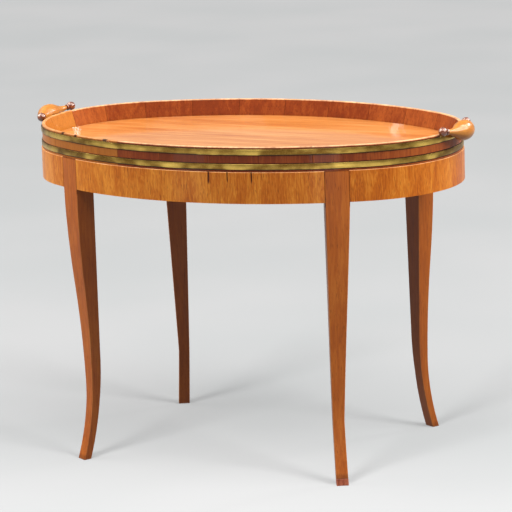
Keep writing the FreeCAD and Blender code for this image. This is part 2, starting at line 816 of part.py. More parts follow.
RAIL_CENTRE = f"({RAIL_SHARE} * {FRIEZE_RADIUS} * sin({LEG_ANGLE}))"
housings = [housing_cylinder(arc) for arc in ("front", "back")]
rails = []
for name, side in (("left", -1), ("right", 1)):
    bar = add(
        "Part::Box",
        f"{name}_rail_bar",
        Length="Sizes.rail_width",
        Width="Sizes.tray_width",
        Height="Sizes.rail_thickness",
    )
    bar.Placement = place(
        f"{side} * {RAIL_CENTRE} - Sizes.rail_width / 2",
        "-Sizes.tray_width / 2",
        "Sizes.stand_height - Sizes.rail_drop - Sizes.rail_thickness",
    )
    rails.append(keep(common(f"{name}_rail", [bar, *housings]), f"{name}_cross_rail"))

# Tray stops: short curved blocks screwed inside the frieze, standing up into the hollow under the
# tray so that it cannot slide off.
STOP_SECTION = wall_section(
    "stop",
    rectangle(
        f"{CORE_INSIDE} + Sizes.stop_thickness",
        "Sizes.stand_height - Sizes.stop_depth",
        CORE_INSIDE,
        f"{PANEL_BOTTOM} - Sizes.stop_clearance",
    ),
)
stop_screws = []
stop_holes = {}
for arc, (kind, x, y) in ARCS.items():
    back_radius = f"({RADII[kind]} - {CORE_INSIDE} - Sizes.stop_thickness)"
    head_radius = f"{back_radius} + Sizes.screw_head_height"
    sweep = f"(Sizes.stop_length / {RADII[kind]} * 180 / pi)"
    stop = swing(f"{arc}_stop", STOP_SECTION, arc, f"-{sweep} / 2", sweep)
    stop_holes[arc] = []
    for end, sign in (("first", -1), ("second", 1)):
        angle = number(f"{sign} * Sizes.stop_screw_spacing / 2 / {back_radius} * 180 / pi")
        outwards = FreeCAD.Rotation(Z_AXIS, HEADING_ANGLES[arc] + angle)
        centre = place(x, y, "Sizes.stand_height - Sizes.stop_depth / 2", outwards)
        head = FreeCAD.Placement(
            FreeCAD.Vector(number(head_radius), 0, 0), FreeCAD.Rotation(Z_AXIS, X_AXIS)
        )
        screw, hole = wood_screw(f"{arc}_stop_{end}_screw", centre.multiply(head))
        stop_screws.append(screw)
        stop_holes[arc].append(hole)
    keep(cut(f"{arc}_stop_bored", stop, stop_holes[arc]), f"{arc}_tray_stop")
keep(group("stop_screw_set", stop_screws), "tray_stop_screws")

cores = {}
for arc, (first, last) in LENGTHS.items():
    slots = [leg_slots[first], leg_slots[last]]
    core = cut(f"{arc}_core_slotted", frieze_length("core", CORE_SECTION, arc), slots)
    core = fuse(f"{arc}_core_tenoned", [core, tenons[first][1], tenons[last][-1]])
    housed = rails if arc in ("front", "back") else []
    cores[arc] = keep(cut(f"{arc}_core_bored", core, housed + stop_holes[arc]), f"{arc}_frieze_core")
    veneer = cut(f"{arc}_veneer_slotted", frieze_length("veneer", VENEER_SECTION, arc), slots)
    if arc == "front":
        cracks = [crack(index + 1, *shares) for index, shares in enumerate(CRACK_SHARES)]
        veneer = cut("front_veneer_cracked", veneer, cracks)
    keep(veneer, f"{arc}_frieze_veneer")


# Glue blocks: three-cornered rubbed blocks in the angles between the legs and the frieze core.
def glue_block(name, frame, sign, core):
    """Block beside one flank of a leg, its face fitted to the core."""
    body = doc.addObject("PartDesign::Body", f"{name}_blank")
    sketch = body_sketch(body, "XY_Plane", f"{name}_outline")
    flank = f"({sign} * Sizes.leg_width / 2)"
    inside = "(Sizes.veneer_thickness + Sizes.core_thickness)"
    corners = [
        (f"Sizes.veneer_thickness - {inside}", flank),
        (f"-{inside} - Sizes.glue_block_side", flank),
        (f"Sizes.veneer_thickness - {inside}",
         f"{flank} + {sign} * (Sizes.glue_block_side + Sizes.veneer_thickness)"),
    ]
    draw_outline(sketch, corners)
    pad = body.newObject("PartDesign::Pad", f"{name}_pad")
    pad.Profile = sketch
    pad.setExpression("Length", "Sizes.glue_block_height")
    low = place("0", "0", "Sizes.stand_height - (Sizes.frieze_height + Sizes.glue_block_height) / 2")
    body.Placement = frame.multiply(low)
    return cut(name, body, [core])


blocks = []
for arc, (first, last) in LENGTHS.items():
    blocks.append(glue_block(f"{arc}_first_glue_block", leg_frame(first), 1, cores[arc]))
    blocks.append(glue_block(f"{arc}_last_glue_block", leg_frame(last), -1, cores[arc]))
keep(group("glue_block_set", blocks), "glue_blocks")

# Every piece has to be sound before any file is written.
doc.recompute()
for item in doc.Objects:
    if {"Invalid", "Error"} & set(item.State):
        raise RuntimeError(f"{item.Label} did not build: {item.State}")
for node in nodes:
    if node.Shape.isNull() or not node.Shape.isValid() or not node.Shape.Solids:
        raise RuntimeError(f"{node.Label} is not a sound solid")
os.makedirs("parts", exist_ok=True)
for node in nodes:
    node.Shape.exportStep(f"parts/{node.Label}.step")
    print(f"{node.Label}: {len(node.Shape.Solids)} solid(s), {node.Shape.Volume:.0f} mm3")
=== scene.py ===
"""Tray top tea table: an oval coopered tray lying loose on a stand with four sabre legs."""

import math
import random

import bmesh
import bpy
from mathutils import Matrix, Vector


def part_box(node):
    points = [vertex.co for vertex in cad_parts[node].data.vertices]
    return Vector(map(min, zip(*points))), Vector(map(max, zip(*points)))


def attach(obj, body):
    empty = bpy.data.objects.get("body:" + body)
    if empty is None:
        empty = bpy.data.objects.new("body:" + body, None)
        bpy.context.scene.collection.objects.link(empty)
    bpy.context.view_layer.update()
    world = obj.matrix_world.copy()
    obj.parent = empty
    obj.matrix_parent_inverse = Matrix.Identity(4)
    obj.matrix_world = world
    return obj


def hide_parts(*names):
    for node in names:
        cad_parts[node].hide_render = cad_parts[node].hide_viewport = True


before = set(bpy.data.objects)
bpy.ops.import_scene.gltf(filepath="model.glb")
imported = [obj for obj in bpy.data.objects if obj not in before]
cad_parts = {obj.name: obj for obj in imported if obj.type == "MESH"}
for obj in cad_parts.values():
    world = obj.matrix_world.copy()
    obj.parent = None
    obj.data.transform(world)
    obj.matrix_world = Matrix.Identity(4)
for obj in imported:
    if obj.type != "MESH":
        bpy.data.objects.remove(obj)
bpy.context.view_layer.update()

# ---------------------------------------------------------------- Viewpoint
# The table is seen from its front, a little from the right and from above,
# through a long lens held a touch out of level.
VIEW_TURN = math.radians(25.508)
VIEW_RISE = math.radians(11.887)
VIEW_ROLL = math.radians(-1.968)
VIEW_DISTANCE = 4.09445
VIEW_SIDESTEP = 0.0039
VIEW_HEIGHT = 0.29239
LENS_MM = 189.07
FILM_MM = 36.0

view_right = Vector((math.cos(VIEW_TURN), math.sin(VIEW_TURN), 0))
view_back = Vector(
    (
        math.sin(VIEW_TURN) * math.cos(VIEW_RISE),
        -math.cos(VIEW_TURN) * math.cos(VIEW_RISE),
        math.sin(VIEW_RISE),
    )
)
view_up = view_back.cross(view_right)
view_place = view_right * VIEW_SIDESTEP + Vector((0, 0, VIEW_HEIGHT)) + view_back * VIEW_DISTANCE
level = (view_right, view_up)
view_right = level[0] * math.cos(VIEW_ROLL) + level[1] * math.sin(VIEW_ROLL)
view_up = level[1] * math.cos(VIEW_ROLL) - level[0] * math.sin(VIEW_ROLL)

viewpoint = bpy.data.objects.new("viewpoint", bpy.data.cameras.new("viewpoint"))
viewpoint.data.lens = LENS_MM
viewpoint.data.sensor_fit = "HORIZONTAL"
viewpoint.data.sensor_width = FILM_MM
viewpoint.matrix_world = (
    Matrix.Translation(view_place) @ Matrix((view_right, view_up, view_back)).transposed().to_4x4()
)
bpy.context.scene.collection.objects.link(viewpoint)
bpy.context.scene.camera = viewpoint
bpy.context.scene.view_settings.view_transform = "Standard"


# ------------------------------------------------------------- Studio floor
# A wide sheet of matt, pale grey paper that the table stands on. It is not
# part of the table.
class Value:
    """One socket of a finish, so that maths on sockets reads as Python."""

    def __init__(self, finish, socket):
        self.finish = finish
        self.socket = socket

    def maths(self, operation, first, second):
        return self.finish.node("ShaderNodeMath", {"operation": operation}, {0: first, 1: second})

    def __add__(self, other):
        return self.maths("ADD", self, other)

    def __radd__(self, other):
        return self.maths("ADD", other, self)

    def __sub__(self, other):
        return self.maths("SUBTRACT", self, other)

    def __rsub__(self, other):
        return self.maths("SUBTRACT", other, self)

    def __mul__(self, other):
        return self.maths("MULTIPLY", self, other)

    def __rmul__(self, other):
        return self.maths("MULTIPLY", other, self)


class Finish:
    """A surface finish, built up node by node around one shader."""

    def __init__(self, name):
        self.material = bpy.data.materials.new(name)
        self.material.use_nodes = True
        self.tree = self.material.node_tree
        self.shader = self.tree.nodes["Principled BSDF"]

    def node(self, kind, settings=None, inputs=None, output=0):
        made = self.tree.nodes.new(kind)
        for name, value in (settings or {}).items():
            if name == "stops":
                stops = made.color_ramp.elements
                while len(stops) < len(value):
                    stops.new(1.0)
                for stop, (place, colour) in zip(stops, value):
                    stop.position = place
                    stop.color = colour
            else:
                setattr(made, name, value)
        self.fill(made, inputs or {})
        return Value(self, made.outputs[output])

    def fill(self, made, inputs):
        for name, value in inputs.items():
            if isinstance(value, Value):
                self.tree.links.new(value.socket, made.inputs[name])
            else:
                made.inputs[name].default_value = value

    def surface(self, **inputs):
        self.fill(self.shader, {name.replace("_", " "): value for name, value in inputs.items()})

    def own(self, name):
        """A value that the piece's mesh carries under a name."""
        return self.node("ShaderNodeAttribute", {"attribute_name": name}, output="Fac")

    def noise(self, spot, detail=2.0, rough=0.55, bend=0.0):
        return self.node(
            "ShaderNodeTexNoise",
            inputs={"Vector": spot, "Scale": 1.0, "Detail": detail, "Roughness": rough, "Distortion": bend},
        )

    def spread(self, value, low, high, most=1.0):
        """A value that eases from 0 to most as the given value goes from low to high."""
        return self.node(
            "ShaderNodeMapRange",
            {"interpolation_type": "SMOOTHSTEP"},
            {0: value, 1: low, 2: high, 3: 0.0, 4: most},
        )

    def mix(self, share, first, second):
        """A colour that goes from first to second as share goes from 0 to 1."""
        return self.node("ShaderNodeMix", {"data_type": "RGBA"}, {0: share, 6: first, 7: second}, output=2)

    def scaled(self, point, factors):
        return self.node("ShaderNodeVectorMath", {"operation": "MULTIPLY"}, {0: point, 1: factors})

    def bump(self, height, depth, strength):
        return self.node("ShaderNodeBump", inputs={"Strength": strength, "Distance": depth, "Height": height})


def shade(red, green, blue):
    """A colour given as screen values from 0 to 255, for a socket."""
    parts = [c / 255 for c in (red, green, blue)]
    return [c / 12.92 if c < 0.04045 else ((c + 0.055) / 1.055) ** 2.4 for c in parts] + [1.0]


def piece_from(shape, name):
    """A scene object at the origin, with the bmesh's shape."""
    mesh = bpy.data.meshes.new(name)
    shape.to_mesh(mesh)
    shape.free()
    piece = bpy.data.objects.new(name, mesh)
    bpy.context.scene.collection.objects.link(piece)
    return piece


FLOOR_HALF = 14.0
PAPER_CLOUDS = (1.3, 1.3, 1.3)
PAPER_RUN = (0.43, -0.9, 0)
PAPER_RUN_ENDS = (-0.4, 0.5)
PAPER_GLOW = 0.34

paper = Finish("studio_paper")
paper_point = paper.node("ShaderNodeTexCoord", output="Object")
paper_cloud = paper.noise(paper.scaled(paper_point, PAPER_CLOUDS))
paper_shade = paper.spread(paper_cloud, low=0.3, high=0.7)
paper_run = paper.node(
    "ShaderNodeVectorMath", {"operation": "DOT_PRODUCT"}, {0: paper_point, 1: PAPER_RUN}, output=1
)
# The paper glows, more towards the near side: painted light that stands in for the lamps brightening the near
# floor.
paper_glow = paper.mix(
    paper.spread(paper_run, *PAPER_RUN_ENDS), shade(209, 209, 209), shade(255, 255, 255)
)
paper.surface(
    Base_Color=paper.mix(paper_shade, shade(72, 73, 73), shade(76, 76, 76)),
    Roughness=0.8,
    Specular_IOR_Level=0.0,
    Emission_Color=paper_glow,
    Emission_Strength=PAPER_GLOW,
)
floor_shape = bmesh.new()
bmesh.ops.create_grid(floor_shape, x_segments=1, y_segments=1, size=FLOOR_HALF)
floor = piece_from(floor_shape, "studio_floor")
floor.data.materials.append(paper.material)
floor.visible_diffuse = False

# ------------------------------------------------------------- Studio light
# Soft boxes round the table in an even grey room, cards and small lamps that
# the brass and the polish mirror, glints for the handles alone, and lights
# for the paper alone, which draw the soft shade and the streaks of the legs.
ROOM_COLOUR = (1.0, 1.0, 1.0, 1.0)
ROOM_STRENGTH = 0.3
TABLE_MIDDLE = Vector((0, 0, 0.4))
LEFT_BOX_PLACE = (-2.08, -0.56, 2.34)
RIGHT_BOX_PLACE = (2.06, 0.09, 2.47)
GLINT_SIDE = 2.4
GLINT_POWER = 420.0
GLINT_COLOUR = (1, 0.88, 0.76)

room = bpy.data.worlds.new("room")
room.use_nodes = True
room_light = room.node_tree.nodes["Background"]
room_light.inputs["Color"].default_value = ROOM_COLOUR
room_light.inputs["Strength"].default_value = ROOM_STRENGTH
bpy.context.scene.world = room


def soft_box(name, place, width, height, power, mirrored=True):
    """A lit rectangle that faces the table."""
    lamp = bpy.data.lights.new(name, "AREA")
    lamp.shape = "RECTANGLE"
    lamp.size = width
    lamp.size_y = height
    lamp.energy = power
    box = bpy.data.objects.new(name, lamp)
    turn = (TABLE_MIDDLE - Vector(place)).to_track_quat("-Z", "Y")
    box.matrix_world = Matrix.Translation(place) @ turn.to_matrix().to_4x4()
    box.visible_camera = False
    box.visible_glossy = mirrored
    bpy.context.scene.collection.objects.link(box)
    return box


soft_box("left_box", LEFT_BOX_PLACE, width=1.8, height=1.8, power=88.0, mirrored=False)
soft_box("right_box", RIGHT_BOX_PLACE, width=1.5, height=1.5, power=102.0, mirrored=False)
soft_box("front_box", (0.3, -1.8, 2.7), width=1.8, height=1.2, power=36.0)
soft_box("top_box", (0, 0, 3.2), width=2.2, height=2.2, power=28.0)
soft_box("left_card", (-0.8, -2.0, 0.25), width=0.5, height=0.7, power=1.1)
soft_box("right_card", (1.1, -1.8, 0.25), width=0.4, height=0.7, power=1.4)
soft_box("left_lamp", (-2.36, -0.43, 2.1), width=0.13, height=0.6, power=12.0)
soft_box("right_lamp", (1.48, 1.94, 1.88), width=0.42, height=0.6, power=38.0)

ends_only = bpy.data.collections.new("ends_only")
for name, place in (("left_glint", LEFT_BOX_PLACE), ("right_glint", RIGHT_BOX_PLACE)):
    glint = soft_box(name, place, GLINT_SIDE, GLINT_SIDE, GLINT_POWER)
    glint.data.color = GLINT_COLOUR
    glint.visible_diffuse = False
    glint.light_linking.receiver_collection = ends_only

paper_only = bpy.data.collections.new("paper_only")
paper_only.objects.link(floor)
legs_only = bpy.data.collections.new("legs_only")


def paper_light(name, fall, energy, spread):
    """A distant light, spread in degrees, that falls on the paper alone."""
    lamp = bpy.data.lights.new(name, "SUN")
    lamp.energy = energy
    lamp.angle = math.radians(spread)
    light = bpy.data.objects.new(name, lamp)
    light.rotation_euler = Vector(fall).to_track_quat("-Z", "Y").to_euler()
    light.light_linking.receiver_collection = paper_only
    bpy.context.scene.collection.objects.link(light)
    return light


paper_light("broad_paper_light", fall=(-0.35, 0.3, -1), energy=4.6, spread=48)
left_streaks = paper_light("left_paper_light", fall=(0.17, 0.98, -0.84), energy=10.5, spread=20)
left_streaks.light_linking.blocker_collection = legs_only
right_streaks = paper_light("right_paper_light", fall=(-0.95, 0.3, -0.78), energy=8.7, spread=20)
right_streaks.light_linking.blocker_collection = legs_only


# ------------------------------------------------- Frieze core and its parts
# Under the veneer lies a bent core of bare pine in four lengths, with two
# cross rails, four stops that locate the tray, and rubbed-in glue blocks.
# All of it is sawn and planed softwood that was never polished.
TONE_SHIFT = {"X": 3.1, "Y": 5.3, "Z": 2.3}
PIT_WIDTH = 0.7
PIT_AND_SHADE_DARKNESS = 0.35
FIBRE_ROUGHNESS = 0.12
PIT_ROUGHNESS = 0.15
JOINT_ROUGHNESS = 0.2
JOINT_FADE = 0.01
WEAR_FADE = 0.02
WEAR_LEAST = 0.3
WEAR_BY_STREAK = 0.3
WEAR_BY_BAND = 0.4
DARK_BAND_FADE = 0.012
CHIP_RAGGEDNESS = 0.0015
CHIP_CORE = 0.6
CRACK_RAGGEDNESS = 0.0004
CRACK_TAPER = 0.007
CRACK_EDGE = (0.0005, -0.0003)
GRAIN_RELIEF = 0.6


def wood_finish(
    name, dark, middle, pale, along,
    gloss=0.4, sheen=0.25, polish=0.0, polish_gloss=0.1, polish_ior=1.5,
    band=0.045, streak=0.006, fibre=0.0016, figure=(0.34, 0.42, 0.24), reach=12.0, bend=0.6,
    contrast=1.0, own_tone=0.0, pores=0.5, relief=0.00012,
    wear_and_highlight=None, wear_and_highlight_share=0.6, wear_and_highlight_from=None, joint_from=None, joint_share=0.85, inward_painted_shade=0.0,
    dark_bands=(), dark_band_share=1.0, chips=(), chip_share=0.6, cracks=(),
):
    """Wood with bands, streaks, fibres and pores that run along axis 0, 1 or 2."""
    finish = Finish(name)
    tone = finish.own("tone")
    shift = finish.node(
        "ShaderNodeCombineXYZ", inputs={axis: tone * pace for axis, pace in TONE_SHIFT.items()}
    )
    place = finish.node("ShaderNodeTexCoord", output="Object")
    point = finish.node("ShaderNodeVectorMath", {"operation": "ADD"}, {0: place, 1: shift})

    def grain(size, stretch, detail, low, high, bend=0.0):
        pace = [1 / size] * 3
        pace[along] /= stretch
        return finish.spread(finish.noise(finish.scaled(point, pace), detail, bend=bend), low, high)

    bands = grain(band, stretch=5, detail=2.0, low=0.32, high=0.68, bend=0.5)
    streaks = grain(streak, stretch=reach, detail=3.0, low=0.3, high=0.7, bend=bend)
    fibres = grain(fibre, stretch=30, detail=2.0, low=0.3, high=0.7)
    pits = grain(fibre * PIT_WIDTH, stretch=12, detail=1.0, low=0.6, high=0.75)
    depth = 0.5 + contrast * (figure[0] * bands + figure[1] * streaks + figure[2] * fibres - 0.5)
    if own_tone:
        depth = depth + (tone - 0.5) * own_tone
    colour = finish.node(
        "ShaderNodeValToRGB", {"stops": [(0.1, dark), (0.5, middle), (0.9, pale)]}, {0: depth}
    )
    # The dark of the pores, also the colour of the painted shade on inward faces, beside the hoops and in the
    # cracks.
    pit_and_shade_colour = [c * PIT_AND_SHADE_DARKNESS for c in dark[:3]] + [1.0]
    # Faces that turn in under the table are darkened: painted shade.
    if inward_painted_shade:
        colour = finish.mix(finish.own("inner") * inward_painted_shade, colour, pit_and_shade_colour)
    colour = finish.mix(pits * pores, colour, pit_and_shade_colour)
    rough = gloss + FIBRE_ROUGHNESS * fibres + PIT_ROUGHNESS * pits * pores
    arris = finish.own("arris")
    height = finish.own("height")
    if joint_from is not None:
        joint = arris * finish.spread(height, joint_from - JOINT_FADE, joint_from)
        colour = finish.mix(joint * joint_share, colour, pit_and_shade_colour)
        rough = rough + JOINT_ROUGHNESS * joint
        arris = arris - joint
    # Arrises turn pale with wear. Where a height is given, a band along the top turns pale instead: wear and
    # a painted highlight of the lit top edge.
    if wear_and_highlight:
        wear_and_highlight_mask = arris if wear_and_highlight_from is None else finish.spread(height, wear_and_highlight_from, wear_and_highlight_from + WEAR_FADE)
        wear_and_highlight_mask = wear_and_highlight_mask * (wear_and_highlight_share * (WEAR_LEAST + WEAR_BY_STREAK * streaks + WEAR_BY_BAND * bands))
        colour = finish.mix(wear_and_highlight_mask, colour, wear_and_highlight)
    # Bands by height darken outward faces: beside the hoops this is painted shade, and at the feet the wood
    # is darker towards the bottom.
    for low, high in dark_bands:
        line = finish.spread(height, low, low + DARK_BAND_FADE) * finish.spread(height, high, high - DARK_BAND_FADE)
        colour = finish.mix(line * (dark_band_share * (1 - finish.own("inner"))), colour, pit_and_shade_colour)
    chip_colour = [c * chip_share for c in dark[:3]] + [1.0]
    for chip, size in chips:
        away = finish.node("ShaderNodeVectorMath", {"operation": "DISTANCE"}, {0: place, 1: chip}, output=1)
        chipped = finish.spread(away + CHIP_RAGGEDNESS * fibres, size, CHIP_CORE * size)
        colour = finish.mix(chipped, colour, chip_colour)
    # Each crack is a dark line that tapers down from the top edge: painted shade.
    for top, tip, width in cracks:
        level = finish.node("ShaderNodeSeparateXYZ", inputs={0: place}, output=2)
        plan = finish.scaled(place, (1, 1, 0))
        away = finish.node("ShaderNodeVectorMath", {"operation": "DISTANCE"}, {0: plan, 1: top}, output=1)
        reached = finish.spread(level, tip, tip + CRACK_TAPER, most=width)
        edge = away + CRACK_RAGGEDNESS * fibres - reached
        colour = finish.mix(finish.spread(edge, *CRACK_EDGE), colour, pit_and_shade_colour)
    finish.surface(
        Base_Color=colour,
        Roughness=rough,
        Specular_IOR_Level=sheen,
        Coat_Weight=polish,
        Coat_Roughness=polish_gloss,
        Coat_IOR=polish_ior,
        Normal=finish.bump(0.5 * fibres - pits, relief, GRAIN_RELIEF),
    )
    return finish.material


def dress(node, material):
    """Gives a CAD solid that is shown as it is its finish."""
    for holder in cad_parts[node].material_slots:
        holder.material = material


SIDES = ("front", "right", "back", "left")

pine_upright = wood_finish(
    "bare_pine_upright", shade(112, 74, 42), shade(158, 116, 74), shade(184, 146, 100), along=2,
    gloss=0.7, band=0.03,
)
pine_across = wood_finish(
    "bare_pine_across", shade(104, 68, 38), shade(150, 108, 68), shade(176, 136, 92), along=1,
    gloss=0.7, band=0.02,
)
for side in SIDES:
    dress(f"{side}_frieze_core", pine_upright)
    dress(f"{side}_tray_stop", pine_upright)
dress("glue_blocks", pine_upright)
dress("left_cross_rail", pine_across)
dress("right_cross_rail", pine_across)

# ------------------------------------------------------------------- Screws
# Countersunk wood screws of dull, oil-blacked steel hold the tray stops to
# the core and the handles to the end staves.
STEEL_SPOTS = (900, 900, 900)
STEEL_ROUGHNESS = 0.35
STEEL_PATCH_ROUGHNESS = 0.3

steel = Finish("dull_screw_steel")
steel_spot = steel.scaled(steel.node("ShaderNodeTexCoord", output="Object"), STEEL_SPOTS)
steel_patch = steel.spread(steel.noise(steel_spot, detail=3.0), low=0.35, high=0.65)
steel.surface(
    Base_Color=steel.mix(steel_patch, shade(74, 66, 60), shade(150, 146, 140)),
    Metallic=1.0,
    Roughness=STEEL_ROUGHNESS + STEEL_PATCH_ROUGHNESS * steel_patch,
)
dress("tray_stop_screws", steel.material)
dress("handle_screws", steel.material)


# --------------------------------------------------------------- Sabre legs
# Four legs of solid mahogany, square in section, sawn to a sabre curve and
# shaped by hand. Their heads run up through the frieze, flush with its face.
MERGE_DISTANCE = 1e-6
FLAT_ANGLE = math.radians(0.08)
CREASE_ANGLE = math.radians(30)


def eased_copy(node, name, ease, body, material, tone=0.5):
    """A merged copy of a CAD solid that stands for it, with its arrises rounded by ease."""
    shape = bmesh.new()
    shape.from_mesh(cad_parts[node].data)
    bmesh.ops.remove_doubles(shape, verts=shape.verts, dist=MERGE_DISTANCE)
    bmesh.ops.dissolve_limit(shape, angle_limit=FLAT_ANGLE, verts=shape.verts, edges=shape.edges)
    arris = shape.faces.layers.float.new("arris")
    if ease:
        corners = [e for e in shape.edges if e.is_manifold and e.calc_face_angle() > CREASE_ANGLE]
        rounded = bmesh.ops.bevel(
            shape, geom=corners, offset=ease, offset_type="OFFSET", affect="EDGES",
            segments=2, profile=0.5, material=-1, clamp_overlap=True,
        )
        for face in rounded["faces"]:
            face[arris] = 1.0
    for face in shape.faces:
        face.smooth = True
    low = min(v.co.z for v in shape.verts)
    high = max(v.co.z for v in shape.verts)
    rise = shape.verts.layers.float.new("height")
    own = shape.verts.layers.float.new("tone")
    for vert in shape.verts:
        vert[rise] = (vert.co.z - low) / (high - low)
        vert[own] = tone
    piece = piece_from(shape, name)
    if "custom_normal" in piece.data.attributes:
        piece.data.attributes.remove(piece.data.attributes["custom_normal"])
    piece.data.materials.clear()
    piece.data.materials.append(material)
    flats = piece.modifiers.new("flat_faces", "WEIGHTED_NORMAL")
    flats.keep_sharp = True
    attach(piece, body)
    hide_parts(node)
    return piece


def mark_inner_faces(piece, node):
    """Gives each face a value from 0, facing out from the table, to 1, facing in."""
    low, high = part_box(node)
    outward = ((low + high) / 2).xy.normalized()
    inner = piece.data.attributes.new("inner", "FLOAT", "FACE")
    turns = [0.5 - 0.5 * face.normal.xy.dot(outward) for face in piece.data.polygons]
    inner.data.foreach_set("value", turns)


LEG_EASE = 0.0009
# Each leg is darker along the bottom of its foot.
FOOT_DARK_BAND = (-0.02, 0.02)
LEG_TONES = {"front_right": 0.62, "back_right": 0.45, "back_left": 0.3, "front_left": 0.55}

# The legs' faces that turn in under the table are darkened: painted shade.
leg_wood = wood_finish(
    "leg_mahogany", shade(137, 63, 15), shade(172, 88, 24), shade(194, 112, 41), along=2,
    gloss=0.4, polish=0.12, polish_gloss=0.2, band=0.03, streak=0.004, contrast=0.6, own_tone=0.2,
    wear_and_highlight=shade(206, 140, 84), wear_and_highlight_share=0.4, joint_from=0.89, inward_painted_shade=0.55,
    dark_bands=(FOOT_DARK_BAND,), dark_band_share=0.5,
)
for corner, tone in LEG_TONES.items():
    node = f"{corner}_leg"
    leg = eased_copy(node, f"{corner}_sabre_leg", LEG_EASE, "stand", leg_wood, tone)
    mark_inner_faces(leg, node)
    legs_only.objects.link(leg)

# --------------------------------------------------------- Pieced foot tip
# The front right foot has a new tip of redder mahogany glued on below a
# straight saw cut.
TIP_EASE = 0.0006

tip_wood = wood_finish(
    "foot_tip_mahogany", shade(96, 40, 26), shade(146, 74, 48), shade(172, 98, 70), along=2,
    gloss=0.45, polish=0.1, polish_gloss=0.25, band=0.012, streak=0.004, wear_and_highlight=shade(176, 112, 86),
)
eased_copy("front_right_foot_tip", "pieced_foot_tip", TIP_EASE, "stand", tip_wood)

# ------------------------------------------------------------ Frieze veneer
# Saw-cut mahogany veneer laid on the core in four lengths between the legs,
# with its grain upright. The front length has shrunk and cracked in places.
VENEER_EASE = 0.0003
VENEER_TONES = {"front": 1.1, "right": 0.7, "back": 0.6, "left": 1.4}
VENEER_RADIUS = 0.457006
FRONT_ARC_CENTRE = Vector((0, 0.231306, 0))
FRIEZE_TOP = 0.4638
CRACK_ANGLES = (5.0552, 8.5768, 13.064)
CRACK_LENGTHS = (0.020, 0.017, 0.018)
# The width of the painted shade along each crack.
CRACK_SHADE_WIDTH = 0.0011

crack_shade_lines = []
for angle, length in zip(CRACK_ANGLES, CRACK_LENGTHS):
    out = Vector((math.sin(math.radians(angle)), -math.cos(math.radians(angle)), 0))
    crack_shade_lines.append((FRONT_ARC_CENTRE + out * VENEER_RADIUS, FRIEZE_TOP - length, CRACK_SHADE_WIDTH))
# The pale band along the veneer's top edge is wear and a painted highlight of the lit ledge.
veneer_wood = wood_finish(
    "frieze_veneer", shade(140, 58, 6), shade(186, 98, 18), shade(218, 138, 46), along=2,
    gloss=0.36, sheen=0.16, polish=0.18, polish_gloss=0.14,
    band=0.03, streak=0.0042, fibre=0.0013, figure=(0.36, 0.36, 0.28), reach=5.0, bend=1.6,
    contrast=0.75, own_tone=0.2, pores=0.6,
    wear_and_highlight=shade(250, 206, 160), wear_and_highlight_share=0.4, wear_and_highlight_from=0.975, joint_from=0.0, cracks=crack_shade_lines,
)
for side, tone in VENEER_TONES.items():
    node = f"{side}_frieze_veneer"
    eased_copy(node, f"{side}_veneer", VENEER_EASE, "stand", veneer_wood, tone)

# ---------------------------------------------------------- Shade in cracks
# Three shrinkage cracks run down from the top edge of the front veneer. A dark
# wedge set in each, nearly to the surface, is painted shade.
CRACK_LEANS = (-0.1, 0.0, -0.05)
CRACK_HALF_WIDTH = 0.0012
CRACK_MOUTH = 0.4678
CRACK_FLOOR = 0.45545
SHADE_FILL_THICKNESS = 0.0013
SHADE_FILL_TOP = 0.4627
SHADE_FILL_SPOTS = (700, 700, 250)
SHADE_FILL_ROUGHNESS = 0.75
MOTTLE_ROUGHNESS = 0.15

shade_fill = Finish("crack_shade")
shade_fill_spot = shade_fill.scaled(shade_fill.node("ShaderNodeTexCoord", output="Object"), SHADE_FILL_SPOTS)
shade_fill_mottle = shade_fill.spread(shade_fill.noise(shade_fill_spot, detail=3.0), low=0.35, high=0.65)
shade_fill.surface(
    Base_Color=shade_fill.mix(shade_fill_mottle, shade(40, 14, 6), shade(84, 34, 14)),
    Roughness=SHADE_FILL_ROUGHNESS + MOTTLE_ROUGHNESS * shade_fill_mottle,
    Specular_IOR_Level=0.1,
)
shade_fill_shape = bmesh.new()
for angle, length, lean in zip(CRACK_ANGLES, CRACK_LENGTHS, CRACK_LEANS):
    tip = Vector((lean * length, -CRACK_FLOOR, FRIEZE_TOP - length))
    share = (SHADE_FILL_TOP - tip.z) / (CRACK_MOUTH - tip.z)
    wedge = [shade_fill_shape.verts.new(tip)]
    for sign in (1, -1):
        mouth = Vector((sign * CRACK_HALF_WIDTH, -CRACK_FLOOR, CRACK_MOUTH))
        wedge.append(shade_fill_shape.verts.new(tip.lerp(mouth, share)))
    back = shade_fill_shape.faces.new(wedge)
    front = bmesh.ops.extrude_face_region(shade_fill_shape, geom=[back])["geom"]
    front = [v for v in front if isinstance(v, bmesh.types.BMVert)]
    bmesh.ops.translate(shade_fill_shape, vec=(0, -SHADE_FILL_THICKNESS, 0), verts=front)
    turn = Matrix.Translation(FRONT_ARC_CENTRE) @ Matrix.Rotation(math.radians(angle), 4, "Z")
    bmesh.ops.transform(shade_fill_shape, matrix=turn, verts=wedge + front)
bmesh.ops.recalc_face_normals(shade_fill_shape, faces=shade_fill_shape.faces)
crack_shade = piece_from(shade_fill_shape, "crack_shade")
crack_shade.data.materials.append(shade_fill.material)
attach(crack_shade, "stand")

# --------------------------------------------------------------- Tray panel
# One oval board of pale golden mahogany, raised in the middle, whose thin
# edge sits in a groove of the staves. It is french polished to a high gloss.
panel_wood = wood_finish(
    "tray_panel_polish", shade(169, 90, 36), shade(199, 127, 60), shade(216, 151, 90), along=0,
    gloss=0.34, sheen=0.1, polish=0.9, polish_gloss=0.09,
    band=0.05, streak=0.0045, figure=(0.26, 0.5, 0.24), reach=32.0, contrast=0.9,
    pores=0.25, relief=0.00003,
)
dress("tray_panel", panel_wood)

